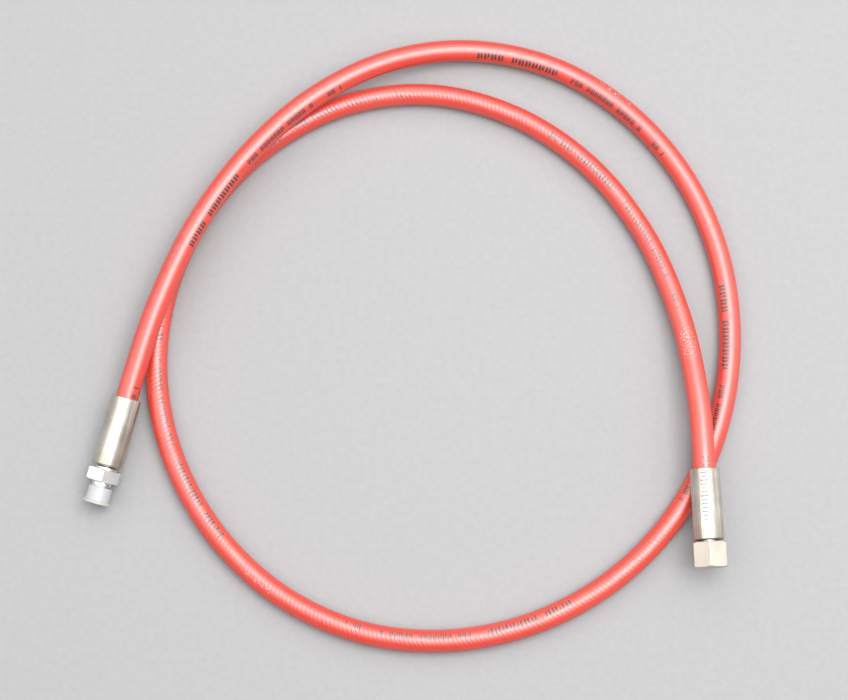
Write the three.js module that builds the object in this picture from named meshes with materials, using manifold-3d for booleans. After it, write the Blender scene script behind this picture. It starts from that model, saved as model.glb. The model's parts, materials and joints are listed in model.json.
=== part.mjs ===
// High-pressure hose assembly of a hydraulic rescue tool, lying on a flat surface in one and
// three quarter loose loops. One end is a fixed male fitting under a plastic dust cap, the other
// is a female fitting with a swivel nut. Millimetres, +Z up, origin on the surface under the
// middle of the whole assembly.
import * as THREE from 'three';
import { mergeVertices } from 'three/addons/utils/BufferGeometryUtils.js';
import Module from 'manifold-3d';

const wasm = await Module();
wasm.setup();

// Hose, from the outside in: radii of each tube's two walls
const COVER = { outer: 6.6, inner: 6.0 };
const OUTER_WIRE = { outer: 5.7, inner: 5.25 };
const INNER_WIRE = { outer: 4.95, inner: 4.5 };
const CORE = { outer: 4.2, inner: 3.2 };
const HOSE_SIDES = 10;
const HOSE_STEPS = 50;
const HOSE_IN_FERRULE = 34;
const ROUTE_SAMPLES = 1200;

// The hose's run, from the male ferrule's mouth to the female ferrule's. The first turn passes
// over the second one at the male end, and under the female fitting.
const ROUTE = [
  [-172.1, -38.6, 16.4], [-168.4, -25.6, 17.6], [-155.5, 15.5, 20.2], [-134, 64.5, 20.4],
  [-103.5, 109, 20.4], [-64.5, 146, 20.1], [-17.5, 172, 16], [34, 181.5, 9.4],
  [86.5, 171, 7.1], [132, 142, 6.7], [166, 100.5, 6.6], [186, 50.5, 6.6],
  [191, -3, 6.6], [181.5, -56, 6.6], [158, -104.5, 6.6], [121, -143.5, 6.6],
  [74, -170, 6.6], [21.5, -181.5, 6.6], [-32, -176.5, 6.6], [-81, -154, 6.6],
  [-120, -117, 6.6], [-146, -70, 6.6], [-156.5, -17, 6.6], [-149, 36.5, 6.6],
  [-125.5, 84.5, 6.6], [-88, 123.5, 6.6], [-40.5, 148, 6.6], [12.5, 153.5, 6.6],
  [64.5, 138.5, 6.6], [108.5, 107, 6.7], [140.5, 64, 7.6], [160, 13.5, 12.2],
  [168.8, -37.5, 19.4], [170.6, -67.5, 22.3], [171.1, -82, 22.4],
];

// Directions in which the two fittings point: turned about +Z from -Y, then tipped nose down
const MALE_TURN = -15.7;
const MALE_TIP = 6;
const FEMALE_TURN = 2;
const FEMALE_TIP = 0;

// Crimped ferrules, along the fitting from the mouth
const FERRULE_LENGTH = 41.8;
const FERRULE_MOUTH_FLAT = 8.55;
const FERRULE_END_FLAT = 8.85;
const FERRULE_BORE_RADIUS = 7.05;
const FERRULE_WALL = 5;
const CRIMP_JAWS = 8;
const CRIMP_CORNER = 0.56;
const CRIMP_CORNER_STEPS = 3;
const FERRULE_EDGE = 0.8;
const FEMALE_FERRULE_ROLL = 12;

// Inserts: barbed tail in the core tube, neck through the ferrule's end wall
const TAIL_RADIUS = 2.35;
const BARB_RADIUS = 2.7;
const BARB_COUNT = 5;
const BARB_PITCH = 5;
const TAIL_START = 9;
const BORE_RADIUS = 1.7;
const NECK_RADIUS = 4.3;
const LOCK_GROOVE = 0.5;
const CLEARANCE = 0.3;

// G1/4 pipe thread and the hexagons
const THREAD_MAJOR = 6.58;
const THREAD_MINOR = 5.72;
const THREAD_PITCH = 1.337;
const HEX_ACROSS_FLATS = 19;
const HEX_CHAMFER = 0.6;
const HEX_FACE_RADIUS = 10;
const CONE_HALF_ANGLE = 30;

// Male fitting, along the fitting from the ferrule's mouth
const MALE_HEX_START = 44.1;
const MALE_HEX_LENGTH = 7.4;
const MALE_HEX_ROLL = -6;
const MALE_RELIEF_LENGTH = 2.1;
const MALE_THREAD_TURNS = 6;
const MALE_LENGTH = 62.9;
const MALE_CONE_RADIUS = 4.7;

// Dust cap over the male thread
const CAP_START = 54.8;
const CAP_LENGTH = 10.2;
const CAP_MOUTH_RADIUS = 7.2;
const CAP_END_RADIUS = 7.3;
const CAP_WALL = 0.5;
const CAP_RIM_RADIUS = 8.45;
const CAP_RIM_THICKNESS = 1.5;

// Swivel nut, its thrust wire, and the coned nose with its O-ring
const NUT_START = 43.1;
const NUT_LENGTH = 14.6;
const NUT_ROLL = 7;
const NUT_BACK_WALL = 2.6;
const NUT_THREAD_TURNS = 5;
const NUT_BACK_BORE = 4.9;
const NOSE_RADIUS = 5.3;
const NOSE_START = 46.4;
const NOSE_TIP = 53.2;
const NOSE_TIP_RADIUS = 3.3;
const WIRE_RADIUS = 0.55;
const WIRE_PLACE = 47.9;
const ORING_RADIUS = 0.55;
const ORING_RING_RADIUS = 4.15;
const ORING_PLACE = 51.35;

const ROUND_SIDES = 24;
const RING_SECTION_SIDES = 8;
const radians = THREE.MathUtils.degToRad;

const finish = {
  cover: { color: 0xd8261f, roughness: 0.35, metalness: 0 },
  wire: { color: 0xb9a46a, roughness: 0.4, metalness: 0.9 },
  core: { color: 0xe9e4d6, roughness: 0.5, metalness: 0 },
  ferrule: { color: 0xc9c3b4, roughness: 0.35, metalness: 0.9 },
  steel: { color: 0xd2d0ca, roughness: 0.3, metalness: 0.9 },
  nut: { color: 0xd9cfae, roughness: 0.3, metalness: 0.9 },
  cap: { color: 0xe2e6ea, roughness: 0.45, metalness: 0 },
  rubber: { color: 0x1b1b1b, roughness: 0.7, metalness: 0 },
};

// Solids

function signedVolume(points, triangles) {
  const [a, b, c] = [new THREE.Vector3(), new THREE.Vector3(), new THREE.Vector3()];
  let volume = 0;
  for (let i = 0; i < triangles.length; i += 3) {
    a.fromArray(points, 3 * triangles[i]);
    b.fromArray(points, 3 * triangles[i + 1]);
    c.fromArray(points, 3 * triangles[i + 2]);
    volume += a.dot(b.cross(c)) / 6;
  }
  return volume;
}

// Joins a geometry's shared corners, drops triangles with no area and turns its faces outward.
function solid(geometry) {
  geometry.deleteAttribute('normal');
  geometry.deleteAttribute('uv');
  const merged = mergeVertices(geometry, 1e-4);
  const points = merged.getAttribute('position').array;
  const source = merged.index.array;
  const triangles = [];
  for (let i = 0; i < source.length; i += 3) {
    const [a, b, c] = [source[i], source[i + 1], source[i + 2]];
    if (a !== b && b !== c && c !== a) triangles.push(a, b, c);
  }
  if (signedVolume(points, triangles) < 0) triangles.reverse();
  const mesh = new wasm.Mesh({
    numProp: 3,
    vertProperties: new Float32Array(points),
    triVerts: new Uint32Array(triangles),
  });
  mesh.merge();
  return new wasm.Manifold(mesh);
}

function geometryOf(manifold) {
  const mesh = manifold.getMesh();
  const geometry = new THREE.BufferGeometry();
  geometry.setAttribute('position', new THREE.BufferAttribute(mesh.vertProperties, 3));
  geometry.setIndex(new THREE.BufferAttribute(mesh.triVerts, 1));
  return geometry;
}

// A turned solid about +Z. The profile is a closed list of [radius, height].
function turned(profile, sides = ROUND_SIDES) {
  const points = profile.map(([r, z]) => new THREE.Vector2(r, z));
  if (profile[0][0] > 0) points.push(points[0].clone());
  return solid(new THREE.LatheGeometry(points, sides).rotateX(Math.PI / 2));
}

// A prism along +Z from an outline of [x, y] points.
function prism(outline, start, length) {
  const shape = new THREE.Shape(outline.map(([x, y]) => new THREE.Vector2(x, y)));
  const geometry = new THREE.ExtrudeGeometry(shape, { depth: length, bevelEnabled: false });
  return solid(geometry.translate(0, 0, start));
}

function circle(radius, sides) {
  return Array.from({ length: sides }, (_, i) => {
    const angle = (i * 2 * Math.PI) / sides;
    return new THREE.Vector2(radius * Math.cos(angle), radius * Math.sin(angle));
  });
}

// A ring of round section about +Z.
function ring(ringRadius, sectionRadius, place) {
  const profile = circle(sectionRadius, RING_SECTION_SIDES);
  return turned(profile.map((p) => [ringRadius + p.x, place + p.y]));
}

function part(name, manifold, look) {
  const mesh = new THREE.Mesh(geometryOf(manifold), new THREE.MeshStandardMaterial(look));
  mesh.name = name;
  return mesh;
}

// Hose

function direction(turn, tip) {
  const flat = Math.cos(radians(tip));
  return new THREE.Vector3(
    Math.sin(radians(turn)) * flat,
    -Math.cos(radians(turn)) * flat,
    -Math.sin(radians(tip)),
  );
}

const maleAxis = direction(MALE_TURN, MALE_TIP);
const femaleAxis = direction(FEMALE_TURN, FEMALE_TIP);
const maleMouth = new THREE.Vector3(...ROUTE[0]);
const femaleMouth = new THREE.Vector3(...ROUTE[ROUTE.length - 1]);

// The hose's centre line, with the straight stretch that each ferrule holds.
function hoseLine() {
  const run = ROUTE.map((point) => new THREE.Vector3(...point));
  const first = maleMouth.clone().addScaledVector(maleAxis, HOSE_IN_FERRULE);
  const last = femaleMouth.clone().addScaledVector(femaleAxis, HOSE_IN_FERRULE);
  const line = new THREE.CatmullRomCurve3([first, ...run, last], false, 'centripetal');
  line.arcLengthDivisions = ROUTE_SAMPLES;
  return line;
}

function hoseTube(line, { outer, inner }) {
  const section = new THREE.Shape(circle(outer, HOSE_SIDES));
  section.holes.push(new THREE.Path(circle(inner, HOSE_SIDES)));
  const sweep = { steps: HOSE_STEPS, extrudePath: line, bevelEnabled: false };
  return solid(new THREE.ExtrudeGeometry(section, sweep));
}

function hose() {
  const line = hoseLine();
  return [
    part('hose_cover', hoseTube(line, COVER), finish.cover),
    part('outer_wire_layer', hoseTube(line, OUTER_WIRE), finish.wire),
    part('inner_wire_layer', hoseTube(line, INNER_WIRE), finish.wire),
    part('core_tube', hoseTube(line, CORE), finish.core),
  ];
}

// Ferrules

// Eight pressed flats a unit from the axis, rounded off between them by a corner radius of
// CRIMP_CORNER. A flat faces up.
function crimpOutline() {
  const half = Math.PI / CRIMP_JAWS;
  const middle = (1 - CRIMP_CORNER) / Math.cos(half);
  const flatEnd = Math.atan((1 - CRIMP_CORNER) * Math.tan(half));
  const outline = [];
  for (let i = 0; i < CRIMP_JAWS; i += 1) {
    for (let k = -CRIMP_CORNER_STEPS; k <= CRIMP_CORNER_STEPS; k += 1) {
      const off = ((half - flatEnd) * k) / CRIMP_CORNER_STEPS;
      const reach = middle * Math.cos(off)
        + Math.sqrt(CRIMP_CORNER ** 2 - (middle * Math.sin(off)) ** 2);
      const angle = (2 * i + 1) * half + off;
      outline.push([reach * Math.cos(angle), reach * Math.sin(angle)]);
    }
  }
  return outline;
}

// The crimped sleeve. Its flats stand a little further out at the fitting's end than at the mouth.
function ferrule() {
  const body = prism(crimpOutline(), 0, FERRULE_LENGTH).warp((point) => {
    const share = point[2] / FERRULE_LENGTH;
    const flat = FERRULE_MOUTH_FLAT + share * (FERRULE_END_FLAT - FERRULE_MOUTH_FLAT);
    point[0] *= flat;
    point[1] *= flat;
  });
  const corner = FERRULE_END_FLAT / Math.cos(Math.PI / CRIMP_JAWS);
  const envelope = turned([
    [FERRULE_BORE_RADIUS, 0],
    [FERRULE_MOUTH_FLAT - FERRULE_EDGE / 2, 0],
    [corner, FERRULE_EDGE],
    [corner, FERRULE_LENGTH - FERRULE_EDGE],
    [FERRULE_END_FLAT - FERRULE_EDGE, FERRULE_LENGTH],
    [NECK_RADIUS + CLEARANCE, FERRULE_LENGTH],
    [NECK_RADIUS + CLEARANCE, FERRULE_LENGTH - FERRULE_WALL],
    [FERRULE_BORE_RADIUS, FERRULE_LENGTH - FERRULE_WALL],
  ]);
  return body.intersect(envelope);
}

// Fittings

// Half profile of the insert inside the ferrule, from its tail to its neck.
function tailProfile() {
  const profile = [[BORE_RADIUS, TAIL_START], [TAIL_RADIUS - 0.3, TAIL_START]];
  for (let i = 0; i < BARB_COUNT; i += 1) {
    const foot = TAIL_START + 0.6 + i * BARB_PITCH;
    profile.push([TAIL_RADIUS, foot]);
    profile.push([BARB_RADIUS, foot + BARB_PITCH - 0.8]);
  }
  const neck = FERRULE_LENGTH - FERRULE_WALL - LOCK_GROOVE;
  profile.push([TAIL_RADIUS, HOSE_IN_FERRULE + LOCK_GROOVE]);
  profile.push([TAIL_RADIUS, neck]);
  profile.push([NECK_RADIUS, neck + LOCK_GROOVE]);
  return profile;
}

// A hexagonal bar with an edge facing up, turned by roll degrees.
function hexagon(start, length, roll) {
  const corner = HEX_ACROSS_FLATS / Math.sqrt(3);
  const outline = Array.from({ length: 6 }, (_, i) => {
    const angle = radians(90 + roll + 60 * i);
    return [corner * Math.cos(angle), corner * Math.sin(angle)];
  });
  const chamfer = turned([
    [0, start],
    [HEX_FACE_RADIUS, start],
    [corner + 0.1, start + HEX_CHAMFER],
    [corner + 0.1, start + length - HEX_CHAMFER],
    [HEX_FACE_RADIUS, start + length],
    [0, start + length],
  ], 2 * ROUND_SIDES);
  return prism(outline, start, length).intersect(chamfer);
}

// Crests and roots of a thread of separate turns, from low to high along +Z.
function threadProfile(start, turns, crest, root) {
  const profile = [];
  for (let i = 0; i < turns; i += 1) {
    const foot = start + i * THREAD_PITCH;
    profile.push([root, foot + 0.15 * THREAD_PITCH]);
    profile.push([crest, foot + 0.6 * THREAD_PITCH]);
    profile.push([crest, foot + 0.7 * THREAD_PITCH]);
  }
  return profile;
}

function maleInsert() {
  const hexEnd = MALE_HEX_START + MALE_HEX_LENGTH;
  const threadStart = hexEnd + MALE_RELIEF_LENGTH;
  const coneDepth = (MALE_CONE_RADIUS - BORE_RADIUS) / Math.tan(radians(CONE_HALF_ANGLE));
  const body = turned([
    ...tailProfile(),
    [NECK_RADIUS, FERRULE_LENGTH + 0.5],
    [NECK_RADIUS + 2, FERRULE_LENGTH + 1],
    [NECK_RADIUS + 2, hexEnd],
    [THREAD_MINOR, hexEnd],
    ...threadProfile(threadStart, MALE_THREAD_TURNS, THREAD_MAJOR, THREAD_MINOR),
    [THREAD_MINOR, MALE_LENGTH],
    [MALE_CONE_RADIUS, MALE_LENGTH],
    [BORE_RADIUS, MALE_LENGTH - coneDepth],
  ]);
  const bore = turned([
    [0, MALE_HEX_START - 1],
    [NECK_RADIUS, MALE_HEX_START - 1],
    [NECK_RADIUS, hexEnd + 1],
    [0, hexEnd + 1],
  ]);
  return body.add(hexagon(MALE_HEX_START, MALE_HEX_LENGTH, MALE_HEX_ROLL).subtract(bore));
}

function dustCap() {
  const end = CAP_START + CAP_LENGTH;
  const floor = end - CAP_RIM_THICKNESS;
  return turned([
    [0, floor],
    [CAP_END_RADIUS - CAP_WALL - 0.1, floor],
    [CAP_MOUTH_RADIUS - CAP_WALL, CAP_START],
    [CAP_MOUTH_RADIUS, CAP_START],
    [CAP_END_RADIUS, floor],
    [CAP_RIM_RADIUS, floor + 0.2],
    [CAP_RIM_RADIUS, end - 0.3],
    [CAP_RIM_RADIUS - 0.3, end],
    [0, end],
  ]);
}

function femaleInsert() {
  const cone = (NOSE_RADIUS - NOSE_TIP_RADIUS) / Math.tan(radians(CONE_HALF_ANGLE));
  const coneStart = NOSE_TIP - cone;
  const wireGroove = ORING_RADIUS + CLEARANCE;
  const coneRadius = (z) => NOSE_RADIUS - (z - coneStart) * Math.tan(radians(CONE_HALF_ANGLE));
  const ringLow = ORING_PLACE - wireGroove;
  const ringHigh = ORING_PLACE + wireGroove;
  const ringFloor = ORING_RING_RADIUS - wireGroove;
  return turned([
    ...tailProfile(),
    [NECK_RADIUS, NOSE_START],
    [NOSE_RADIUS, NOSE_START],
    [NOSE_RADIUS, WIRE_PLACE - wireGroove],
    [NOSE_RADIUS - wireGroove, WIRE_PLACE - wireGroove],
    [NOSE_RADIUS - wireGroove, WIRE_PLACE + wireGroove],
    [NOSE_RADIUS, WIRE_PLACE + wireGroove],
    [NOSE_RADIUS, coneStart],
    [coneRadius(ringLow), ringLow],
    [ringFloor, ringLow],
    [ringFloor, ringHigh],
    [coneRadius(ringHigh), ringHigh],
    [NOSE_TIP_RADIUS, NOSE_TIP],
    [BORE_RADIUS, NOSE_TIP],
  ]);
}

function swivelNut() {
  const end = NUT_START + NUT_LENGTH;
  const grooveHalf = WIRE_RADIUS + CLEARANCE;
  const groove = NOSE_RADIUS + WIRE_RADIUS + CLEARANCE;
  const threadEnd = end - 1;
  const threadStart = threadEnd - NUT_THREAD_TURNS * THREAD_PITCH;
  const backFace = NUT_START + NUT_BACK_WALL;
  const hole = turned([
    [0, NUT_START - 1],
    [NUT_BACK_BORE, NUT_START - 1],
    [NUT_BACK_BORE, backFace],
    [THREAD_MINOR, backFace + 0.4],
    [THREAD_MINOR, WIRE_PLACE - grooveHalf],
    [groove, WIRE_PLACE - grooveHalf],
    [groove, WIRE_PLACE + grooveHalf],
    [THREAD_MINOR, WIRE_PLACE + grooveHalf],
    ...threadProfile(threadStart, NUT_THREAD_TURNS, THREAD_MAJOR, THREAD_MINOR),
    [THREAD_MINOR, threadEnd],
    [THREAD_MAJOR + 0.5, end],
    [THREAD_MAJOR + 0.5, end + 1],
    [0, end + 1],
  ]);
  return hexagon(NUT_START, NUT_LENGTH, NUT_ROLL).subtract(hole);
}

// Holds a fitting's parts, drawn along +Z from the ferrule's mouth, at their place on the hose.
function placed(mouth, axis, parts) {
  const side = new THREE.Vector3(0, 0, 1).cross(axis).normalize();
  const up = axis.clone().cross(side);
  const group = new THREE.Group();
  group.applyMatrix4(new THREE.Matrix4().makeBasis(side, up, axis).setPosition(mouth));
  group.add(...parts);
  return group;
}

function maleEnd() {
  return placed(maleMouth, maleAxis, [
    part('male_ferrule', ferrule(), finish.ferrule),
    part('male_insert', maleInsert(), finish.steel),
    part('dust_cap', dustCap(), finish.cap),
  ]);
}

function femaleEnd() {
  return placed(femaleMouth, femaleAxis, [
    part('female_ferrule', ferrule().rotate([0, 0, FEMALE_FERRULE_ROLL]), finish.ferrule),
    part('female_insert', femaleInsert(), finish.steel),
    part('swivel_nut', swivelNut(), finish.nut),
    part('thrust_wire', ring(NOSE_RADIUS, WIRE_RADIUS, WIRE_PLACE), finish.steel),
    part('cone_oring', ring(ORING_RING_RADIUS, ORING_RADIUS, ORING_PLACE), finish.rubber),
  ]);
}

const assembly = new THREE.Group();
assembly.name = 'rescue_tool_hose';
assembly.add(...hose(), maleEnd(), femaleEnd());

export default assembly;
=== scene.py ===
"""The looks of a rescue tool's high-pressure hose, lying on a pale floor in loose loops.

A red sheathed hose with a crimped male fitting under a dust cap at one end and a female fitting
with a swivel nut at the other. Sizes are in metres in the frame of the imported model.
"""
import json
import math

import bmesh
import bpy
import numpy as np
from mathutils import Matrix, Vector


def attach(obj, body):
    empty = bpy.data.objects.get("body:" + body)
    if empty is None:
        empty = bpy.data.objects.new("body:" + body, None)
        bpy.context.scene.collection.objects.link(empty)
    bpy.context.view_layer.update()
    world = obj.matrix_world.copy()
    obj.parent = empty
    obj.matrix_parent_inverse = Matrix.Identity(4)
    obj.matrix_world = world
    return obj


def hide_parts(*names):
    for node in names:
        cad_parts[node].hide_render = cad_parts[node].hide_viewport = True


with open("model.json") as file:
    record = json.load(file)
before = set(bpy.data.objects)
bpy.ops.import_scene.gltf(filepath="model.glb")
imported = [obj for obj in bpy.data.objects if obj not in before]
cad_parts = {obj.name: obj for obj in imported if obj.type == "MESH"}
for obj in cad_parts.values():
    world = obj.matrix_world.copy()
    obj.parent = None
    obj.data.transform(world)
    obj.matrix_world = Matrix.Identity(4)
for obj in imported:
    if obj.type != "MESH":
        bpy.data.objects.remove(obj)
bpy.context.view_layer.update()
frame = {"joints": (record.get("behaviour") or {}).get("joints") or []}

MM = 0.001
LAY_MAP = "lay"

# Hose: radii of each layer's two walls, and how much of it each ferrule holds
COVER = (6.6 * MM, 6.0 * MM)
OUTER_WIRE = (5.7 * MM, 5.25 * MM)
INNER_WIRE = (4.95 * MM, 4.5 * MM)
CORE = (4.2 * MM, 3.2 * MM)
FERRULE_GRIP = 34 * MM

# Both fittings have six-sided hexagons and ferrules pressed by eight jaws
HEX_SIDES = 6
CRIMP_JAWS = 8

# The hose's run from the male ferrule's mouth to the female ferrule's
ROUTE = [
    (-0.1721, -0.0386, 0.0164), (-0.1684, -0.0256, 0.0176), (-0.1555, 0.0155, 0.0202),
    (-0.134, 0.0645, 0.0204), (-0.1035, 0.109, 0.0204), (-0.0645, 0.146, 0.0201),
    (-0.0175, 0.172, 0.016), (0.034, 0.1815, 0.0094), (0.0865, 0.171, 0.0071),
    (0.132, 0.142, 0.0067), (0.166, 0.1005, 0.0066), (0.186, 0.0505, 0.0066),
    (0.191, -0.003, 0.0066), (0.1815, -0.056, 0.0066), (0.158, -0.1045, 0.0066),
    (0.121, -0.1435, 0.0066), (0.074, -0.17, 0.0066), (0.0215, -0.1815, 0.0066),
    (-0.032, -0.1765, 0.0066), (-0.081, -0.154, 0.0066), (-0.12, -0.117, 0.0066),
    (-0.146, -0.07, 0.0066), (-0.1565, -0.017, 0.0066), (-0.149, 0.0365, 0.0066),
    (-0.1255, 0.0845, 0.0066), (-0.088, 0.1235, 0.0066), (-0.0405, 0.148, 0.0066),
    (0.0125, 0.1535, 0.0066), (0.0645, 0.1385, 0.0066), (0.1085, 0.107, 0.0067),
    (0.1405, 0.064, 0.0076), (0.16, 0.0135, 0.0122), (0.1688, -0.0375, 0.0194),
    (0.1706, -0.0675, 0.0223), (0.1711, -0.082, 0.0224),
]

JOINTS = {joint["name"]: joint for joint in frame["joints"]}
MALE_AXIS = Vector(JOINTS["cap_pull"]["axis"]).normalized()
FEMALE_AXIS = Vector(JOINTS["nut_spin"]["axis"]).normalized()
MALE_MOUTH = Vector(ROUTE[0])
FEMALE_MOUTH = Vector(ROUTE[-1])


def place_camera():
    """A camera standing over the loops, tipped a little from straight down."""
    aim = Vector((0.0055, -0.0063, 0.0))
    tip = math.radians(10.5)
    distance = 1.12
    lens = bpy.data.cameras.new("camera")
    lens.sensor_width = 36
    lens.lens = 78
    camera = bpy.data.objects.new("camera", lens)
    camera.location = aim + Vector((0, -math.sin(tip), math.cos(tip))) * distance
    camera.rotation_euler = (tip, 0, 0)
    bpy.context.scene.collection.objects.link(camera)
    bpy.context.scene.camera = camera


place_camera()


# Meshes

def smooth_curve(corners, per_span=60):
    """Points of the smooth curve through corners, spaced as the frame's own hose is."""
    points = np.array([tuple(c) for c in corners])
    points = np.vstack([2 * points[0] - points[1], points, 2 * points[-1] - points[-2]])
    t = np.linspace(0, 1, per_span, endpoint=False)[:, None]
    spans = []
    for before, start, end, after in zip(points, points[1:], points[2:], points[3:]):
        g0, g1, g2 = (
            np.linalg.norm(b - a) ** 0.5
            for a, b in ((before, start), (start, end), (end, after))
        )
        leave = ((start - before) / g0 - (end - before) / (g0 + g1) + (end - start) / g1) * g1
        arrive = ((end - start) / g1 - (after - start) / (g1 + g2) + (after - end) / g2) * g1
        spans.append(
            start * (2 * t**3 - 3 * t**2 + 1) + leave * (t**3 - 2 * t**2 + t)
            + end * (3 * t**2 - 2 * t**3) + arrive * (t**3 - t**2)
        )
    spans.append(points[-2:-1])
    return np.vstack(spans)


def evenly(points, step):
    """The same line with points about one step apart, and each point's distance along it."""
    gone = np.concatenate([[0], np.cumsum(np.linalg.norm(np.diff(points, axis=0), axis=1))])
    along = np.linspace(0, gone[-1], round(gone[-1] / step) + 1)
    line = np.column_stack([np.interp(along, gone, points[:, k]) for k in range(3)])
    return line, along


def grid_piece(name, points, wrap_rows, finish, lay, sharp=40):
    """A piece from a grid of points, rows by columns, closed round its columns.

    lay holds each row's and column's coordinate for the finish, one column more than the grid
    has, so that the seam keeps its own value."""
    rows, columns = points.shape[:2]
    around, along = lay
    last = rows if wrap_rows else rows - 1
    i, j = np.meshgrid(np.arange(last), np.arange(columns), indexing="ij")
    i, j = i.ravel(), j.ravel()
    i_next, j_next = (i + 1) % rows, (j + 1) % columns
    faces = np.column_stack([
        i * columns + j, i * columns + j_next, i_next * columns + j_next, i_next * columns + j,
    ])
    mesh = bpy.data.meshes.new(name)
    mesh.from_pydata(points.reshape(-1, 3).tolist(), [], faces.tolist())
    uv = mesh.uv_layers.new(name=LAY_MAP)
    u = np.column_stack([around[i, j], around[i, j + 1], around[i_next, j + 1], around[i_next, j]])
    v = np.column_stack([along[i], along[i], along[i + 1], along[i + 1]])
    uv.data.foreach_set("uv", np.stack([u, v], axis=-1).astype(np.float32).ravel())
    tidy_mesh(mesh)
    mesh.set_sharp_from_angle(angle=math.radians(sharp))
    mesh.materials.append(finish)
    piece = bpy.data.objects.new(name, mesh)
    bpy.context.scene.collection.objects.link(piece)
    return piece


def tidy_mesh(mesh):
    """Joins points that fall together, as on an axis, and turns all faces outward."""
    work = bmesh.new()
    work.from_mesh(mesh)
    bmesh.ops.remove_doubles(work, verts=work.verts, dist=1e-7)
    bmesh.ops.dissolve_degenerate(work, edges=work.edges, dist=1e-8)
    bmesh.ops.recalc_face_normals(work, faces=work.faces)
    for face in work.faces:
        face.smooth = True
    work.to_mesh(mesh)
    work.free()


def hose_frames(line):
    """Each point's up and inward directions, square to the hose."""
    tangent = np.gradient(line, axis=0)
    tangent /= np.linalg.norm(tangent, axis=1)[:, None]
    up = np.array([0, 0, 1]) - tangent[:, 2:3] * tangent
    up /= np.linalg.norm(up, axis=1)[:, None]
    return up, np.cross(tangent, up)


def hose_tube(name, walls, step, sides, finish, twist=None):
    """A hollow layer of the hose, ends closed by rings between its two walls."""
    line, along = evenly(LINE, step)
    up, inward = hose_frames(line)
    angle = np.arange(sides) * 2 * math.pi / sides
    ring = up[:, None] * np.cos(angle)[:, None] + inward[:, None] * np.sin(angle)[:, None]
    outer, inner = (line[:, None] + ring * radius for radius in walls)
    points = np.concatenate([outer, inner[::-1]])
    stations = np.concatenate([along, along[::-1], along[:1]])
    turn = np.interp(stations, *twist) if twist else np.zeros(len(stations))
    share = np.arange(sides + 1) / sides
    around = share[None, :] - turn[:, None] / 360
    return grid_piece(name, points, True, finish, (around, stations)), line


def fitting_place(mouth, axis):
    """The place of a fitting drawn along +Z from its ferrule's mouth, +Y up."""
    side = Vector((0, 0, 1)).cross(axis).normalized()
    up = axis.cross(side)
    matrix = Matrix((side, up, axis)).transposed().to_4x4()
    matrix.translation = mouth
    return matrix


def filleted(corners, closed=True, steps=4):
    """Rows of a profile with rounded corners. A corner is radius, height and fillet; radius and
    height may differ round the axis."""
    places = [np.array([np.broadcast_to(value, ANGLES.shape) for value in c[:2]]) for c in corners]
    rows = []
    count = len(places)
    for k, place in enumerate(places):
        fillet = corners[k][2]
        ends_here = not closed and k in (0, count - 1)
        if not fillet or ends_here:
            rows.append(place)
            continue
        before, after = places[k - 1] - place, places[(k + 1) % count] - place
        start = place + before * (fillet / np.maximum(np.hypot(*before), 1e-9))
        end = place + after * (fillet / np.maximum(np.hypot(*after), 1e-9))
        for t in np.linspace(0, 1, steps + 1):
            rows.append(start * (1 - t) ** 2 + place * 2 * t * (1 - t) + end * t**2)
    return rows


def turned(name, rows, place, finish, closed=True, sharp=32):
    """A piece turned about a fitting's axis from rows of radius and height."""
    table = np.array(rows)
    radius, height = table[:, 0], table[:, 1]
    local = np.stack([radius * np.cos(ANGLES), radius * np.sin(ANGLES), height], axis=-1)
    turn = np.array(place.to_3x3())
    points = local @ turn.T + np.array(place.translation)
    middle = table.mean(axis=2)
    run = np.concatenate([[0], np.cumsum(np.linalg.norm(np.diff(middle, axis=0), axis=1))])
    run = np.append(run, run[-1] + np.linalg.norm(middle[0] - middle[-1]))
    share = np.append(ANGLES, ANGLES[0] + 2 * math.pi) / (2 * math.pi)
    around = np.broadcast_to(share, (len(run), share.size))
    return grid_piece(name, points, closed, finish, (around, run), sharp)


def corner_angles(sides, offsets):
    """Degrees close to each corner of a polygon with a flat facing 0 degrees, on both sides."""
    spread = [0, *offsets, *(-offset for offset in offsets)]
    return [(k + 0.5) * 360 / sides + offset for k in range(sides) for offset in spread]


def sector_angles():
    """Angles round a fitting, closer together at the hexagon's and the crimp flats' corners."""
    even = np.arange(0, 360, 3.0)
    hexagon = corner_angles(HEX_SIDES, (0.45, 0.9, 1.6))
    crimp = corner_angles(CRIMP_JAWS, (1.2, 2.4, 4, 7, 11))
    return np.radians(np.unique(np.round(np.concatenate([even, hexagon, crimp]), 3)))


ANGLES = sector_angles()


def polygon_reach(flat, sides, blunt, start=0.0):
    """How far a polygon of rounded corners reaches at each angle. Its flats stand at the distance
    flat from the axis, one of them facing start degrees, and blunt is the corners' radius."""
    half = math.pi / sides
    swing = np.abs((ANGLES - math.radians(start) + half) % (2 * half) - half)
    middle = (flat - blunt) / math.cos(half)
    bend = np.arctan((flat - blunt) * math.tan(half) / flat)
    off = half - swing
    corner = middle * np.cos(off) + np.sqrt(np.maximum(blunt**2 - (middle * np.sin(off))**2, 0))
    return np.where(swing < bend, flat / np.cos(swing), corner)


# Finishes

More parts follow.
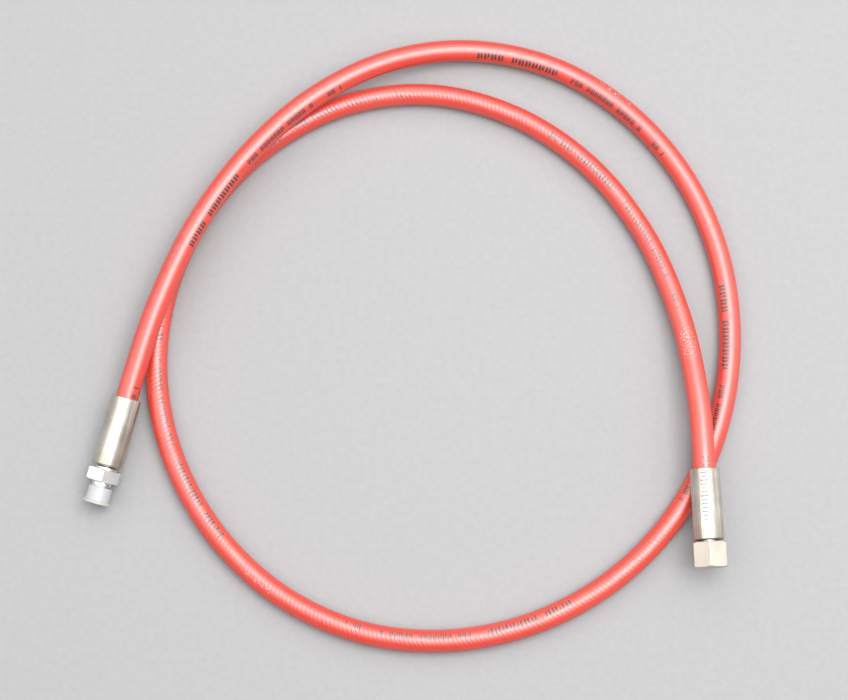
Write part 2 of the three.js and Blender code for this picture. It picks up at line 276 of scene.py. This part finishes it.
class Shade:
    """A value that varies over a finish: a socket that takes part in arithmetic."""

    def __init__(self, recipe, socket):
        self.recipe = recipe
        self.socket = socket

    def maths(self, operation, *values):
        return self.recipe.node("ShaderNodeMath", {"operation": operation}, *values)

    def __add__(self, other):
        return self.maths("ADD", self, other)

    def __radd__(self, other):
        return self.maths("ADD", other, self)

    def __sub__(self, other):
        return self.maths("SUBTRACT", self, other)

    def __rsub__(self, other):
        return self.maths("SUBTRACT", other, self)

    def __mul__(self, other):
        return self.maths("MULTIPLY", self, other)

    def __rmul__(self, other):
        return self.maths("MULTIPLY", other, self)

    def __truediv__(self, other):
        return self.maths("DIVIDE", self, other)

    def __mod__(self, other):
        return self.maths("FLOORED_MODULO", self, other)

    def __gt__(self, other):
        return self.maths("GREATER_THAN", self, other)

    def __lt__(self, other):
        return self.maths("LESS_THAN", self, other)

    def __abs__(self):
        return self.maths("ABSOLUTE", self)

    def sine(self):
        return self.maths("SINE", self)

    def floor(self):
        return self.maths("FLOOR", self)

    def most(self, other):
        return self.maths("MAXIMUM", self, other)

    def step(self, low, high):
        """0 below low, 1 above high, smooth between."""
        settings = {"interpolation_type": "SMOOTHSTEP"}
        return self.recipe.node("ShaderNodeMapRange", settings, self, low, high, 0.0, 1.0)


class Recipe:
    """A finish being made: one material with a Principled shader, and nodes that vary it."""

    def __init__(self, name, color, roughness, **constants):
        self.material = bpy.data.materials.new(name)
        self.material.use_nodes = True
        self.nodes = self.material.node_tree.nodes
        self.links = self.material.node_tree.links
        self.shader = self.nodes["Principled BSDF"]
        self.shader.inputs["Base Color"].default_value = (*color, 1)
        self.shader.inputs["Roughness"].default_value = roughness
        for socket, value in constants.items():
            self.shader.inputs[socket.replace("_", " ")].default_value = value

    def node(self, kind, settings, *values, out=0, **named):
        """Any node: its type, its settings, then the values or links of its sockets."""
        made = self.nodes.new(kind)
        for setting, value in settings.items():
            setattr(made, setting, value)
        sockets = [s for s in made.inputs if s.enabled]
        pairs = list(zip(sockets, values))
        pairs += [(made.inputs[key.replace("_", " ")], value) for key, value in named.items()]
        for socket, value in pairs:
            self.put(socket, value)
        return Shade(self, made.outputs[out])

    def put(self, socket, value):
        if isinstance(value, Shade):
            self.links.new(value.socket, socket)
        elif value is not None:
            socket.default_value = value

    def vary(self, socket, value):
        """Lets a value or colour that changes over the surface feed one of the shader's sockets."""
        self.put(self.shader.inputs[socket], value)

    def lay(self):
        """Round and along the piece: a share of a turn, and metres."""
        uv = self.node("ShaderNodeUVMap", {"uv_map": LAY_MAP})
        split = self.nodes.new("ShaderNodeSeparateXYZ")
        self.links.new(uv.socket, split.inputs[0])
        return Shade(self, split.outputs["X"]), Shade(self, split.outputs["Y"])

    def place(self):
        """The point's place in the frame."""
        return self.node("ShaderNodeTexCoord", {}, out="Object")

    def noise(self, where, scale, detail=2.0, roughness=0.5):
        return self.node("ShaderNodeTexNoise", {}, Vector=where, Scale=scale,
                         Detail=detail, Roughness=roughness, out="Fac")

    def chance(self, number):
        """An even chance from 0 to 1 for each whole number."""
        return self.node("ShaderNodeTexWhiteNoise", {"noise_dimensions": "1D"}, W=number)

    def point(self, x, y, z=0.0):
        return self.node("ShaderNodeCombineXYZ", {}, x, y, z)

    def mix(self, share, low, high):
        """Low colour where share is 0, high colour where it is 1."""
        settings = {"data_type": "RGBA"}
        return self.node("ShaderNodeMix", settings, share, colour(low), colour(high), out=2)

    def bump(self, height, distance, strength=1.0, under=None):
        return self.node("ShaderNodeBump", {}, Strength=strength, Distance=distance,
                         Height=height, Normal=under)


def colour(value):
    """A colour as a socket takes it: a link, or red, green and blue made opaque."""
    return value if isinstance(value, Shade) else (*value, 1)


# Black marks printed along the hose: each group's start, length, pitch and height
MARK_REPEAT = 230.4 * MM
MARK_START = 133.4 * MM
MARK_GROUPS = (
    (0.0, 58 * MM, 4.5 * MM, 4.3 * MM),
    (63 * MM, 57 * MM, 2.9 * MM, 3.8 * MM),
    (129 * MM, 10 * MM, 2.9 * MM, 3.8 * MM),
)

# Ridges that the spiral wire under the sheath raises in it
RIDGE_SPACING = 2.62 * MM
RIDGE_STARTS = 9

# Metres along the hose over which the ridges come up, and over which they fade again
RIDGES_RISE = (0.62, 0.87)
RIDGES_FADE = (1.5, 1.75)


def red_sheath():
    """Glossy red polyurethane over spiral wire, with generic printed marks and light wear."""
    red = Recipe("red_sheath", (0.53, 0.028, 0.011), 0.4, IOR=1.6, Specular_IOR_Level=1.0)
    around, along = red.lay()
    place = red.place()
    wander = red.noise(red.point(around * 3.0, along * 9.0), 1.0, 2.0)
    ridge = ((along / RIDGE_SPACING - around * RIDGE_STARTS) * (2 * math.pi)).sine()
    drawn = red.noise(red.point(around * 70.0, along * 5.0), 1.0, 3.0)
    grain = red.noise(place, 1500.0, 3.0)
    shade = red.mix(wander.step(0.3, 0.7), (0.49, 0.024, 0.009), (0.57, 0.032, 0.013))
    scuff, smudge = wear(red, around, along, place)
    shade = red.mix(smudge, shade, (0.22, 0.10, 0.09))
    ink = printed_marks(red, around, along)
    faded = ink * (0.85 + 0.15 * grain.step(0.3, 0.5))
    shade = red.mix(faded, shade, (0.035, 0.016, 0.016))
    red.vary("Base Color", red.mix(scuff, shade, (0.90, 0.84, 0.80)))
    red.vary("Roughness", 0.34 + grain * 0.1 - ink * 0.05 + scuff * 0.2)
    swell = along.step(*RIDGES_RISE) * (1 - along.step(*RIDGES_FADE))
    patchy = red.noise(red.point(around * 5.0, along * 55.0), 1.0, 2.0)
    relief = ridge.step(0.1, 1.0) * (0.12 + 0.88 * swell) * (0.35 + 0.65 * patchy.step(0.4, 0.6))
    under = red.bump(relief, 0.12 * MM)
    under = red.bump(drawn, 0.12 * MM, 0.5, under)
    red.vary("Normal", red.bump(grain, 0.05 * MM, 0.4, under))
    return red.material


def printed_marks(red, around, along):
    """Rows of plain tall and short ticks in a bold, a light and a short group, then a gap."""
    spot = (along - MARK_START) % MARK_REPEAT
    across = (around + 0.5) % 1.0 - 0.5
    ink = None
    for seed, (start, length, pitch, tall) in enumerate(MARK_GROUPS):
        half = tall / (4 * math.pi * COVER[0])
        gone = (spot - start) / pitch
        number = gone.floor()
        chance = red.chance(number + seed)
        phase = gone - number
        long_tick = (phase < 0.32) * (abs(across) < half)
        low = (0.2 + chance * 0.9) * half
        short_tick = (phase > 0.46) * (phase < 0.76) * (across > half * -1) * (across < low)
        group = long_tick.most(short_tick) * (chance > 0.14)
        group = group * (spot > start) * (spot < start + length)
        ink = group if ink is None else ink.most(group)
    return ink


# Rubbed places: metres along the hose, half length in metres, then the side and the half width as
# shares of a turn
SCUFFS = ((1.677, 0.012, 0.99, 0.17), (0.452, 0.020, 0.80, 0.05), (1.02, 0.015, 0.90, 0.05))
SMUDGES = ((0.13, 0.042, 0.80, 0.05),)


def wear(red, around, along, place):
    """Pale scuffs in a few spots, and a second row of print worn to dull traces."""
    flecks = red.noise(place, 1400.0, 3.0, 0.6).step(0.6, 0.66)
    cloud = red.noise(place, 330.0, 2.0)

    def patch(spots):
        total = None
        for centre, half_length, side, half_width in spots:
            far = abs(along - centre) / half_length
            aside = abs((around - side + 0.5) % 1.0 - 0.5) / half_width
            here = (1 - far.step(0.4, 1.0)) * (1 - aside.step(0.4, 1.0))
            total = here if total is None else total.most(here)
        return total

    return patch(SCUFFS) * flecks, patch(SMUDGES) * cloud.step(0.5, 0.6) * 0.8


def crimped_plate(name, stamped=False):
    """Satin nickel plate, drawn lengthwise. The stamped one has faint plain ticks on its top."""
    plate = Recipe(name, (0.54, 0.51, 0.45), 0.45, Metallic=1.0)
    around, along = plate.lay()
    place = plate.place()
    drag = plate.noise(plate.point(around * 60.0, along * 20.0), 1.0, 3.0)
    cloud = plate.noise(place, 120.0, 3.0)
    grain = plate.noise(place, 3000.0, 2.0)
    shade = plate.mix(cloud.step(0.3, 0.7), (0.46, 0.43, 0.375), (0.56, 0.535, 0.48))
    shade = plate.mix(drag.step(0.45, 0.7) * 0.7, shade, (0.30, 0.265, 0.22))
    end_bloom = along.step(37 * MM, 43 * MM) * cloud.step(0.35, 0.6) * 0.45
    shade = plate.mix(end_bloom, shade, (0.44, 0.42, 0.24))
    nicks = plate.noise(place, 900.0, 2.0).step(0.7, 0.74)
    shade = plate.mix(nicks * 0.4, shade, (0.12, 0.10, 0.08))
    under = plate.bump(drag, 0.05 * MM, 0.5)
    if stamped:
        ticks = stamp(plate, around, along)
        shade = plate.mix(ticks * 0.65, shade, (0.06, 0.055, 0.05))
        under = plate.bump(ticks * -1, 0.1 * MM, 1.0, under)
    plate.vary("Base Color", shade)
    plate.vary("Roughness", 0.36 + cloud * 0.1 + drag * 0.12)
    plate.vary("Normal", plate.bump(grain, 0.01 * MM, 0.3, under))
    return plate.material


# Ticks punched along the ferrule: the first one's place, their spacing and number, the side as a
# share of a turn, and the tallest one's half height as a share of a turn
STAMP_START = 4.0 * MM
STAMP_PITCH = 2.3 * MM
STAMP_TICKS = 13.0
STAMP_SIDE = 0.257
STAMP_HALF = 0.04


def stamp(plate, around, along):
    """A row of short ticks punched along the top flat."""
    gone = (along - STAMP_START) / STAMP_PITCH
    number = gone.floor()
    chance = plate.chance(number)
    phase = gone - number
    across = abs(around - STAMP_SIDE)
    row = (phase < 0.36) * (across < (0.35 + chance * 0.65) * STAMP_HALF)
    return row * (gone > 0.0) * (gone < STAMP_TICKS)


def bright_zinc():
    """Silvery zinc plate, faintly clouded."""
    zinc = Recipe("bright_zinc", (0.82, 0.81, 0.78), 0.35, Metallic=1.0)
    place = zinc.place()
    cloud = zinc.noise(place, 150.0, 3.0)
    grain = zinc.noise(place, 2500.0, 2.0)
    zinc.vary("Base Color", zinc.mix(cloud, (0.70, 0.685, 0.66), (0.82, 0.81, 0.79)))
    zinc.vary("Roughness", 0.3 + cloud * 0.12)
    zinc.vary("Normal", zinc.bump(grain, 0.01 * MM, 0.3))
    return zinc.material


def passivated_zinc():
    """Pale zinc with the yellow, pink and green bloom of its passivation."""
    zinc = Recipe("passivated_zinc", (0.68, 0.6, 0.5), 0.38, Metallic=1.0)
    place = zinc.place()
    cloud = zinc.noise(place, 90.0, 2.0)
    patch = zinc.noise(place, 130.0, 2.0)
    warm = zinc.mix(cloud.step(0.35, 0.65), (0.645, 0.575, 0.49), (0.64, 0.515, 0.45))
    zinc.vary("Base Color", zinc.mix(patch.step(0.5, 0.75), warm, (0.54, 0.61, 0.49)))
    zinc.vary("Roughness", 0.32 + patch * 0.12)
    zinc.vary("Normal", zinc.bump(zinc.noise(place, 2500.0, 2.0), 0.01 * MM, 0.3))
    return zinc.material


# Where the rim begins, along the cap's profile from the middle of its inner floor
CAP_RIM_FROM = 24.5 * MM


def cap_plastic():
    """Milky polyethylene: bluish where it is thin, cream where the rim is thick."""
    cap = Recipe("cap_plastic", (0.86, 0.89, 0.93), 0.35, Transmission_Weight=0.3, IOR=1.5)
    around, along = cap.lay()
    place = cap.place()
    cloud = cap.noise(place, 200.0, 2.0)
    thin = cap.mix(cloud, (0.47, 0.485, 0.51), (0.55, 0.56, 0.575))
    thick = along.step(CAP_RIM_FROM, CAP_RIM_FROM + 0.5 * MM)
    cap.vary("Base Color", cap.mix(thick, thin, (0.56, 0.52, 0.46)))
    cap.vary("Roughness", 0.28 + cloud * 0.12)
    cap.vary("Normal", cap.bump(cap.noise(place, 900.0, 2.0), 0.03 * MM, 0.4))
    return cap.material


def wire_winding():
    """Brassed steel wires lying side by side in a steep spiral, with painted shade and highlights.
    """
    wire = Recipe("wire_winding", (0.6, 0.48, 0.24), 0.35, Metallic=1.0)
    around, along = wire.lay()
    strand_relief_and_shade = ((around * 24.0 - along / (0.9 * MM)) * (2 * math.pi)).sine()
    # Painted shade between the wires and a painted highlight on each wire's crest
    wire.vary("Base Color", wire.mix(strand_relief_and_shade.step(-1.0, 1.0), (0.3, 0.22, 0.1), (0.7, 0.58, 0.32)))
    wire.vary("Normal", wire.bump(strand_relief_and_shade, 0.15 * MM, 0.8))
    return wire.material


def core_plastic():
    """Cream polyamide."""
    core = Recipe("core_plastic", (0.86, 0.83, 0.74), 0.45)
    cloud = core.noise(core.place(), 80.0, 3.0)
    core.vary("Base Color", core.mix(cloud, (0.82, 0.79, 0.70), (0.90, 0.88, 0.80)))
    core.vary("Roughness", 0.38 + cloud * 0.15)
    return core.material


def seal_rubber():
    """Matt black rubber."""
    rubber = Recipe("seal_rubber", (0.02, 0.02, 0.02), 0.55)
    grain = rubber.noise(rubber.place(), 1800.0, 3.0)
    rubber.vary("Base Color", rubber.mix(grain, (0.012, 0.012, 0.012), (0.035, 0.033, 0.03)))
    rubber.vary("Roughness", 0.45 + grain * 0.2)
    rubber.vary("Normal", rubber.bump(grain, 0.03 * MM, 0.5))
    return rubber.material


SHEATH = red_sheath()
WINDING = wire_winding()
CORE_PLASTIC = core_plastic()
PLATE = crimped_plate("crimped_plate")
STAMPED_PLATE = crimped_plate("stamped_plate", stamped=True)
ZINC = bright_zinc()
NUT_ZINC = passivated_zinc()
CAP_PLASTIC = cap_plastic()
RUBBER = seal_rubber()


# Hose

LINE = smooth_curve([
    MALE_MOUTH + MALE_AXIS * FERRULE_GRIP, *ROUTE, FEMALE_MOUTH + FEMALE_AXIS * FERRULE_GRIP,
])

# Where the printed line stands: metres along the hose, and degrees from the top towards the inside
# of the loops
PRINT_TURN = (
    [0.0, 0.25, 0.5, 0.85, 1.1, 1.4, 1.8], [46.0, 46.0, 38.0, 17.0, 21.0, 14.0, -3.0],
)


# How far apart a layer's rings of points stand, and how many points each has
SHEATH_MESH = (1.5 * MM, 48)
LAYER_MESH = (4 * MM, 24)


def lay_hose():
    """The sheath and the three layers under it, each replacing its plain tube."""
    sheath, path = hose_tube("hose_cover_red", COVER, *SHEATH_MESH, SHEATH, PRINT_TURN)
    layers = (
        ("outer_wire_winding", OUTER_WIRE, WINDING, "outer_wire_layer", "reinforcing_wire"),
        ("inner_wire_winding", INNER_WIRE, WINDING, "inner_wire_layer", "reinforcing_wire"),
        ("core_tube_liner", CORE, CORE_PLASTIC, "core_tube", "core_tube"),
    )
    for name, walls, finish, node, slot in layers:
        layer, _ = hose_tube(name, walls, *LAYER_MESH, finish)
        settle(layer, "hose", node)
    settle(sheath, "hose", "hose_cover")
    return sheath, path


def settle(piece, body, node):
    """Fixes a piece to its moving body, in place of the plain node."""
    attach(piece, body)
    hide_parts(node)
    return piece


# Ferrules and inserts, along the fitting from the ferrule's mouth

FERRULE_LENGTH = 41.8 * MM
FERRULE_MOUTH_FLAT = 8.55 * MM
FERRULE_END_FLAT = 8.85 * MM
FERRULE_BORE = 7.05 * MM
FERRULE_WALL = 5 * MM
# A ferrule's corners are rounded to this share of a flat's distance from the axis, and each has a
# low ridge, its width in degrees, where two jaws met
FERRULE_CORNER = 0.56
CRIMP_STEP = 360 / CRIMP_JAWS
CRIMP_RIDGE = 0.11 * MM
CRIMP_RIDGE_WIDTH = 1.9
TAIL = 2.35 * MM
BARB = 2.7 * MM
BARB_COUNT = 5
BARB_PITCH = 5 * MM
TAIL_START = 9 * MM
BORE = 1.7 * MM
NECK = 4.3 * MM
LOCK_GROOVE = 0.5 * MM
CLEARANCE = 0.3 * MM

# Hexagons with a flat at 60 degrees and an edge at 90, which is up, and the G1/4 pipe thread
HEX_FLAT = 9.5 * MM
HEX_CORNER = 0.35 * MM
HEX_FACE = 10.0 * MM
HEX_BREAK = 0.12 * MM
HEX_FLAT_AT = 60
CHAMFER_SLOPE = math.tan(math.radians(30))
CONE_SLOPE = math.tan(math.radians(30))
THREAD_MAJOR = 6.58 * MM
THREAD_MINOR = 5.72 * MM
THREAD_PITCH = 1.337 * MM
THREAD_STEPS = 10

# Male fitting and its dust cap
COLLAR = NECK + 2 * MM
MALE_HEX = (44.1 * MM, 51.5 * MM)
MALE_THREAD = (53.6 * MM, 62.0 * MM)
MALE_TIP = 62.9 * MM
MALE_CONE = 4.7 * MM
CAP_START = 54.8 * MM
CAP_END = 65.0 * MM
CAP_BORE = 6.7 * MM
CAP_MOUTH = 7.2 * MM
CAP_NECK = 7.25 * MM
CAP_RIM = 8.45 * MM
CAP_RIM_THICKNESS = 1.5 * MM
CAP_DISH = 6.1 * MM
CAP_DISH_EDGE = 6.3 * MM
CAP_DISH_DEPTH = 0.35 * MM

# Swivel nut, the coned nose under it, its thrust wire and its seal
NUT = (43.1 * MM, 57.7 * MM)
NUT_BACK_BORE = 4.9 * MM
NUT_BACK_FACE = 45.7 * MM
NUT_THREAD = (50.0 * MM, 56.7 * MM)
NOSE = 5.3 * MM
NOSE_START = 46.4 * MM
NOSE_TIP_PLACE = 53.2 * MM
NOSE_TIP = 3.3 * MM
WIRE = 0.55 * MM
WIRE_PLACE = 47.9 * MM
SEAL = 0.55 * MM
SEAL_RING = 4.15 * MM
SEAL_PLACE = 51.35 * MM

MALE = fitting_place(MALE_MOUTH, MALE_AXIS)
FEMALE = fitting_place(FEMALE_MOUTH, FEMALE_AXIS)
MALE_HEX_ROLL = -6
NUT_ROLL = 7
FEMALE_FERRULE_ROLL = 12


def rolled(place, degrees):
    """A fitting's place, turned about its own axis."""
    return place @ Matrix.Rotation(math.radians(degrees), 4, "Z")


def ferrule(name, place, finish, node):
    """A sleeve pressed to eight flats, blunt where two jaws met, its edges rounded."""
    def outside(height):
        share = height / FERRULE_LENGTH
        flat = FERRULE_MOUTH_FLAT + share * (FERRULE_END_FLAT - FERRULE_MOUTH_FLAT)
        off = (np.degrees(ANGLES) % CRIMP_STEP - CRIMP_STEP / 2) / CRIMP_RIDGE_WIDTH
        body = polygon_reach(flat, CRIMP_JAWS, FERRULE_CORNER * flat)
        return body + CRIMP_RIDGE * np.exp(-(off**2))

    end = FERRULE_LENGTH
    rows = filleted([
        (FERRULE_BORE, 0.0, 0.3 * MM),
        (outside(0.0), 0.0, 0.5 * MM),
        (outside(end), end, 1.0 * MM),
        (NECK + CLEARANCE, end, 0.3 * MM),
        (NECK + CLEARANCE, end - FERRULE_WALL, 0),
        (FERRULE_BORE, end - FERRULE_WALL, 0),
    ])
    return settle(turned(name, rows, place, finish), "hose", node)


def tail_corners():
    """The barbed tail that the hose is pressed on, and the neck through the ferrule's end."""
    corners = [(BORE, TAIL_START, 0.1 * MM), (TAIL - 0.3 * MM, TAIL_START, 0.1 * MM)]
    for k in range(BARB_COUNT):
        foot = TAIL_START + 0.6 * MM + k * BARB_PITCH
        corners += [(TAIL, foot, 0), (BARB, foot + BARB_PITCH - 0.8 * MM, 0.08 * MM)]
    neck = FERRULE_LENGTH - FERRULE_WALL - LOCK_GROOVE
    return corners + [
        (TAIL, FERRULE_GRIP + LOCK_GROOVE, 0), (TAIL, neck, 0), (NECK, neck + LOCK_GROOVE, 0),
    ]


def hex_rows(start, end):
    """The outside of a hexagon whose ends are chamfered to a round face, edges broken."""
    reach = polygon_reach(HEX_FLAT, HEX_SIDES, HEX_CORNER, HEX_FLAT_AT)
    face = np.minimum(reach, HEX_FACE) - HEX_BREAK
    drop = np.maximum(reach - HEX_FACE, 0) * CHAMFER_SLOPE + HEX_BREAK
    return [(face, start, 0), (reach, start + drop, 0), (reach, end - drop, 0), (face, end, 0)]


def thread_corners(start, end):
    """A right-hand pipe thread that runs out at both ends."""
    heights = np.linspace(start, end, round((end - start) / THREAD_PITCH * THREAD_STEPS) + 1)
    corners = []
    for height in heights:
        wave = 0.5 - 0.5 * np.cos(height / THREAD_PITCH * 2 * math.pi - ANGLES)
        wave = np.clip(wave * 1.4 - 0.2, 0, 1)
        fade = np.clip(min(height - start, end - height) / (0.6 * THREAD_PITCH), 0, 1)
        corners.append((THREAD_MINOR + (THREAD_MAJOR - THREAD_MINOR) * wave * fade, height, 0))
    return corners


def male_insert():
    """The barbed tail, collar, hexagon and threaded stub, with a cone in its tip."""
    hex_start, hex_end = MALE_HEX
    cone_depth = (MALE_CONE - BORE) / CONE_SLOPE
    rows = filleted([
        *tail_corners(),
        (NECK, FERRULE_LENGTH + 0.5 * MM, 0.2 * MM),
        (COLLAR, FERRULE_LENGTH + 1 * MM, 0.25 * MM),
        (COLLAR, hex_start, 0.2 * MM),
        *hex_rows(hex_start, hex_end),
        (THREAD_MINOR + 0.5 * MM, hex_end, 0.2 * MM),
        (THREAD_MINOR, hex_end + 0.6 * MM, 0.3 * MM),
        *thread_corners(*MALE_THREAD),
        (THREAD_MINOR, MALE_TIP - 0.4 * MM, 0),
        (THREAD_MINOR - 0.4 * MM, MALE_TIP, 0),
        (MALE_CONE, MALE_TIP, 0.1 * MM),
        (BORE, MALE_TIP - cone_depth, 0.1 * MM),
    ])
    insert = turned("male_insert_zinc", rows, rolled(MALE, MALE_HEX_ROLL), ZINC)
    return settle(insert, "hose", "male_insert")


def dust_cap():
    """A thin push-on cap, a little wider towards its closed end, with a thick round rim there."""
    floor = CAP_END - CAP_RIM_THICKNESS
    rows = filleted([
        (0.0, floor, 0),
        (CAP_BORE, floor, 0.4 * MM),
        (CAP_BORE, CAP_START, 0.15 * MM),
        (CAP_MOUTH, CAP_START, 0.2 * MM),
        (CAP_NECK, floor - 0.3 * MM, 0.5 * MM),
        (CAP_RIM, floor + 0.05 * MM, 0.35 * MM),
        (CAP_RIM, CAP_END, 0.45 * MM),
        (CAP_DISH_EDGE, CAP_END, 0.2 * MM),
        (CAP_DISH, CAP_END - CAP_DISH_DEPTH, 0.2 * MM),
        (0.0, CAP_END - CAP_DISH_DEPTH, 0),
    ], closed=False)
    cap = turned("dust_cap_plastic", rows, MALE, CAP_PLASTIC, closed=False)
    return settle(cap, "cap", "dust_cap")


def female_insert():
    """The barbed tail and the coned nose, with grooves for the thrust wire and the seal."""
    cone_start = NOSE_TIP_PLACE - (NOSE - NOSE_TIP) / CONE_SLOPE
    room = WIRE + CLEARANCE
    seal_low, seal_high = SEAL_PLACE - room, SEAL_PLACE + room
    rows = filleted([
        *tail_corners(),
        (NECK, NOSE_START, 0.1 * MM),
        (NOSE, NOSE_START, 0.2 * MM),
        (NOSE, WIRE_PLACE - room, 0.1 * MM),
        (NOSE - room, WIRE_PLACE - room, 0),
        (NOSE - room, WIRE_PLACE + room, 0),
        (NOSE, WIRE_PLACE + room, 0.1 * MM),
        (NOSE, cone_start, 0.1 * MM),
        (NOSE - (seal_low - cone_start) * CONE_SLOPE, seal_low, 0.1 * MM),
        (SEAL_RING - room, seal_low, 0),
        (SEAL_RING - room, seal_high, 0),
        (NOSE - (seal_high - cone_start) * CONE_SLOPE, seal_high, 0.05 * MM),
        (NOSE_TIP, NOSE_TIP_PLACE, 0.2 * MM),
        (BORE, NOSE_TIP_PLACE, 0.2 * MM),
    ])
    insert = turned("female_insert_zinc", rows, FEMALE, ZINC)
    return settle(insert, "hose", "female_insert")


def swivel_nut():
    """A hexagon nut, threaded inside, with a groove for the thrust wire behind the thread."""
    start, end = NUT
    room = WIRE + CLEARANCE
    groove = NOSE + room
    rows = filleted([
        (NUT_BACK_BORE, start, 0.2 * MM),
        *hex_rows(start, end),
        (THREAD_MAJOR + 0.5 * MM, end, 0.15 * MM),
        *reversed(thread_corners(*NUT_THREAD)),
        (THREAD_MINOR, WIRE_PLACE + room, 0.1 * MM),
        (groove, WIRE_PLACE + room, 0),
        (groove, WIRE_PLACE - room, 0),
        (THREAD_MINOR, WIRE_PLACE - room, 0.1 * MM),
        (THREAD_MINOR, NUT_BACK_FACE + 0.4 * MM, 0),
        (NUT_BACK_BORE, NUT_BACK_FACE, 0.1 * MM),
    ])
    nut = turned("swivel_nut_zinc", rows, rolled(FEMALE, NUT_ROLL), NUT_ZINC)
    return settle(nut, "nut", "swivel_nut")


def ring(name, ring_radius, section, height, finish, node, slot):
    """A ring of round section about the female fitting's axis."""
    turns = np.linspace(0, 2 * math.pi, 20, endpoint=False)
    rows = filleted([
        (ring_radius + section * math.cos(t), height + section * math.sin(t), 0) for t in turns
    ])
    return settle(turned(name, rows, FEMALE, finish), "hose", node)


SHEATH_PIECE, HOSE_PATH = lay_hose()
ferrule("male_ferrule_plate", MALE, PLATE, "male_ferrule")
male_insert()
dust_cap()
FEMALE_END = [
    ferrule("female_ferrule_plate", rolled(FEMALE, FEMALE_FERRULE_ROLL), STAMPED_PLATE,
            "female_ferrule"),
    female_insert(),
    swivel_nut(),
    ring("thrust_wire_steel", NOSE, WIRE, WIRE_PLACE, ZINC, "thrust_wire", "insert"),
    ring("cone_oring_rubber", SEAL_RING, SEAL, SEAL_PLACE, RUBBER, "cone_oring", "seal"),
]


# Stage

def lay_floor():
    """A pale matt floor with a faint mottle."""
    size = 3.0
    mesh = bpy.data.meshes.new("floor")
    corners = [(-size, -size, 0), (size, -size, 0), (size, size, 0), (-size, size, 0)]
    mesh.from_pydata(corners, [], [(0, 1, 2, 3)])
    matt = Recipe("pale_floor", (0.27, 0.27, 0.27), 0.85)
    mottle = matt.noise(matt.place(), 260.0, 3.0)
    matt.vary("Base Color", matt.mix(mottle, (0.25, 0.248, 0.252), (0.29, 0.288, 0.29)))
    mesh.materials.append(matt.material)
    floor = bpy.data.objects.new("floor", mesh)
    bpy.context.scene.collection.objects.link(floor)


def softbox(name, place, size, radiance):
    """A square light that faces the middle of the loops and isn't seen itself."""
    light = bpy.data.lights.new(name, "AREA")
    light.shape = "SQUARE"
    light.size = size
    light.energy = radiance * math.pi * size**2
    lamp = bpy.data.objects.new(name, light)
    lamp.location = place
    lamp.rotation_euler = (-Vector(place)).to_track_quat("-Z", "Y").to_euler()
    lamp.visible_camera = False
    bpy.context.scene.collection.objects.link(lamp)


def light_room(strength):
    """An even white light from all sides."""
    world = bpy.data.worlds.new("studio")
    bpy.context.scene.world = world
    world.use_nodes = True
    backdrop = world.node_tree.nodes["Background"]
    backdrop.inputs["Color"].default_value = (1, 1, 1, 1)
    backdrop.inputs["Strength"].default_value = strength


lay_floor()
light_room(0.3)
softbox("main", (0.36, 0.06, 1.5), 1.0, 7.5)
softbox("overhead", (0.1, 0.3, 1.5), 3.4, 1.95)
softbox("left_fill", (-1.3, 0.1, 0.6), 0.9, 1.5)
softbox("right_fill", (1.3, 0.2, 0.4), 0.8, 1.3)
bpy.context.scene.view_settings.view_transform = "Standard"
